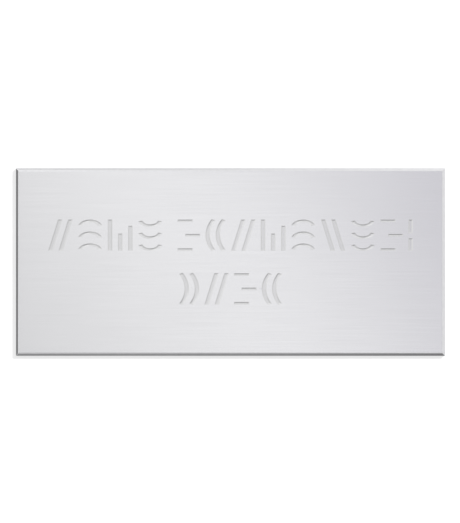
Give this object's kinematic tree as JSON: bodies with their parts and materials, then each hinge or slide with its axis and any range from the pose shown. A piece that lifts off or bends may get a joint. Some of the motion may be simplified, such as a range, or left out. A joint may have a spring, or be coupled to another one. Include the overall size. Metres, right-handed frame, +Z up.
{
  "type": "trophy plate",
  "caption": "Thin rectangular metal trophy plate with bevelled front edges and rows of shallow engraved strokes, fixed by its flat back.",
  "frame": {"origin": "middle of the flat back face, where the plate is stuck to what carries it", "axes": "+X along the plate's length, to the right as seen from the front; +Z up its face; +Y out of its back, so the engraved front looks along -Y"},
  "size_m": [0.08, 0.001, 0.035],
  "materials": {
    "satin_aluminium": "satin silver face with fine lengthwise grain, brighter cut strokes and bevels"
  },
  "bodies": {
    "root": {"plate": "satin_aluminium"}
  },
  "joints": []
}
